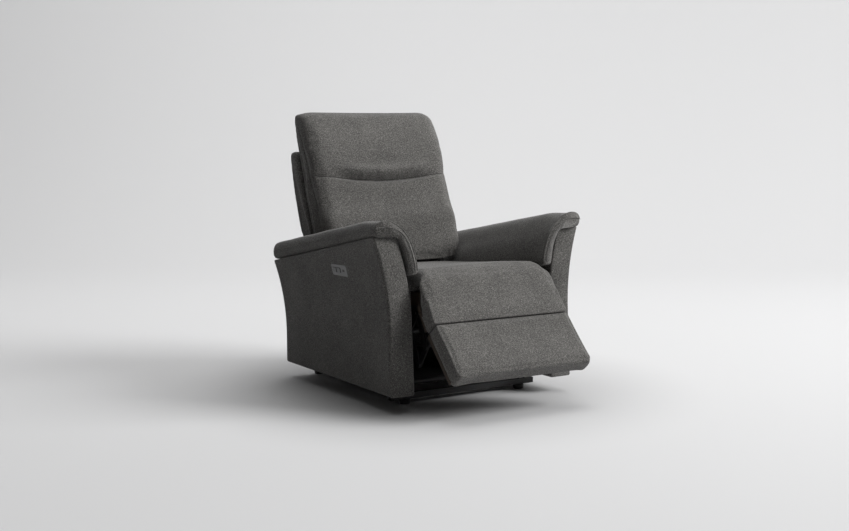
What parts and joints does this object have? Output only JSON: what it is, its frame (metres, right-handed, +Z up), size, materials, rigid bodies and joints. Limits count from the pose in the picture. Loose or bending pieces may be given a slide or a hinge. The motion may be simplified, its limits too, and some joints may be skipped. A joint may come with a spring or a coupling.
{
  "type": "recliner armchair",
  "caption": "Power recliner armchair with flared padded arms, a two-part back cushion, a folding leg rest on a steel linkage and two rocker switches on one arm.",
  "frame": {"origin": "on the floor under the middle of the chair's bounding box, with the leg rest part-way out", "axes": "+X to the sitter's left, +Y to the back, +Z up"},
  "size_m": [0.8572, 1.152, 1.018],
  "materials": {
    "fabric": "heathered slub weave",
    "steel_black": "satin black",
    "steel_zinc": "zinc plated",
    "timber": "raw plywood",
    "webbing": "woven elastic",
    "plastic_black": "fine grain",
    "nylon": "plain",
    "plate_metal": "satin"
  },
  "bodies": {
    "base": {"floor_glides": "plastic_black", "front_crossbar": "steel_black", "rear_crossbar": "steel_black", "base_side_rails": "steel_black", "base_uprights": "steel_black", "front_cross_tube": "steel_black", "guide_rails": "steel_black", "arm_brackets": "steel_black", "arm_bolts": "steel_zinc", "power_inlet": "plastic_black", "right_arm_cover": "fabric", "left_arm_cover": "fabric", "right_arm_posts": "timber", "left_arm_posts": "timber", "right_arm_rails": "timber", "left_arm_rails": "timber", "right_arm_pad": "fabric", "left_arm_pad": "fabric", "switch_bezel": "plate_metal", "usb_port": "plastic_black"},
    "footrest_switch": {"footrest_rocker": "plate_metal"},
    "back_switch": {"back_rocker": "plate_metal"},
    "seat": {"seat_side_rails": "timber", "seat_front_rail": "timber", "seat_rear_rail": "timber", "seat_webbing": "webbing", "seat_cushion": "fabric", "seat_carriers": "steel_black", "slide_blocks": "nylon", "seat_cross_brace": "steel_black", "link_brackets": "steel_black", "idler_pins": "steel_zinc", "flap_hinge_lugs": "steel_black", "flap_hinge_pins": "steel_zinc", "seat_hinge_plates": "steel_black", "back_pivot_pins": "steel_zinc", "footrest_motor": "plastic_black", "recline_motor": "plastic_black"},
    "rod": {"recline_rod": "steel_zinc"},
    "slider": {"footrest_slider": "nylon"},
    "drive": {"torque_tube": "steel_black", "drive_crank": "steel_zinc", "drive_links": "steel_black"},
    "idlers": {"idler_links": "steel_black"},
    "couplers": {"coupler_links": "steel_black"},
    "flap": {"flap_board": "timber", "flap_pad": "fabric", "flap_straps": "steel_black"},
    "footrest": {"footrest_board": "timber", "footrest_pad": "fabric", "footrest_hinges": "steel_black", "footrest_brackets": "steel_black"},
    "back": {"lumbar_cushion": "fabric", "head_cushion": "fabric", "back_shell": "fabric", "back_stiles": "timber", "back_rails": "timber", "back_webbing": "webbing", "back_hinge_brackets": "steel_black", "recline_lever": "steel_black"}
  },
  "joints": [
    {"name": "seat_glide", "type": "slide", "parent": "base", "child": "seat", "axis": [0, -1, 0], "range_m": [0, 0.045]},
    {"name": "recline", "type": "hinge", "parent": "seat", "child": "back", "pos_m": [0, 0.298, 0.4], "axis": [-1, 0, 0], "range_deg": [0, 28.1]},
    {"name": "recline_screw", "type": "slide", "parent": "seat", "child": "rod", "axis": [0, -1, 0], "range_m": [0, 0.056]},
    {"name": "footrest_drive", "type": "hinge", "parent": "seat", "child": "drive", "pos_m": [0, -0.1844, 0.2518], "axis": [-1, 0, 0], "range_deg": [-33.46, 44.93]},
    {"name": "coupler_pivot", "type": "hinge", "parent": "drive", "child": "couplers", "pos_m": [0, -0.234, 0.141], "axis": [-1, 0, 0], "range_deg": [-45.03, 33.56]},
    {"name": "idler_pivot", "type": "hinge", "parent": "seat", "child": "idlers", "pos_m": [0, -0.23018, 0.31942], "axis": [-1, 0, 0], "range_deg": [-33.56, 45.03]},
    {"name": "flap_hinge", "type": "hinge", "parent": "seat", "child": "flap", "pos_m": [0, -0.291, 0.411], "axis": [-1, 0, 0], "range_deg": [-35.1, 47.1]},
    {"name": "footrest_hinge", "type": "hinge", "parent": "flap", "child": "footrest", "pos_m": [0, -0.38851, 0.27174], "axis": [-1, 0, 0], "range_deg": [-3.6, 4.8]},
    {"name": "footrest_screw", "type": "slide", "parent": "seat", "child": "slider", "axis": [0, 1, 0], "range_m": [-0.0225, 0.03]},
    {"name": "footrest_rocker_tilt", "type": "hinge", "parent": "base", "child": "footrest_switch", "pos_m": [-0.40427, 0.00602, 0.46092], "axis": [-0.2439, 0, 0.9698], "range_deg": [-5, 5], "stiffness_Nm_per_rad": 0.2},
    {"name": "back_rocker_tilt", "type": "hinge", "parent": "base", "child": "back_switch", "pos_m": [-0.4031, -0.02096, 0.46121], "axis": [-0.2439, 0, 0.9698], "range_deg": [-5, 5], "stiffness_Nm_per_rad": 0.2}
  ],
  "couplings": [
    {"joint": "recline", "follows": "seat_glide", "rad_per_m": 10.859},
    {"joint": "recline_screw", "follows": "seat_glide", "ratio": 1.2189},
    {"joint": "coupler_pivot", "follows": "footrest_drive", "ratio": -1},
    {"joint": "idler_pivot", "follows": "footrest_drive", "ratio": 1},
    {"joint": "flap_hinge", "follows": "footrest_drive", "ratio": 1.046},
    {"joint": "footrest_hinge", "follows": "footrest_drive", "ratio": 0.1046},
    {"joint": "footrest_screw", "follows": "footrest_drive", "m_per_rad": 0.0376}
  ]
}
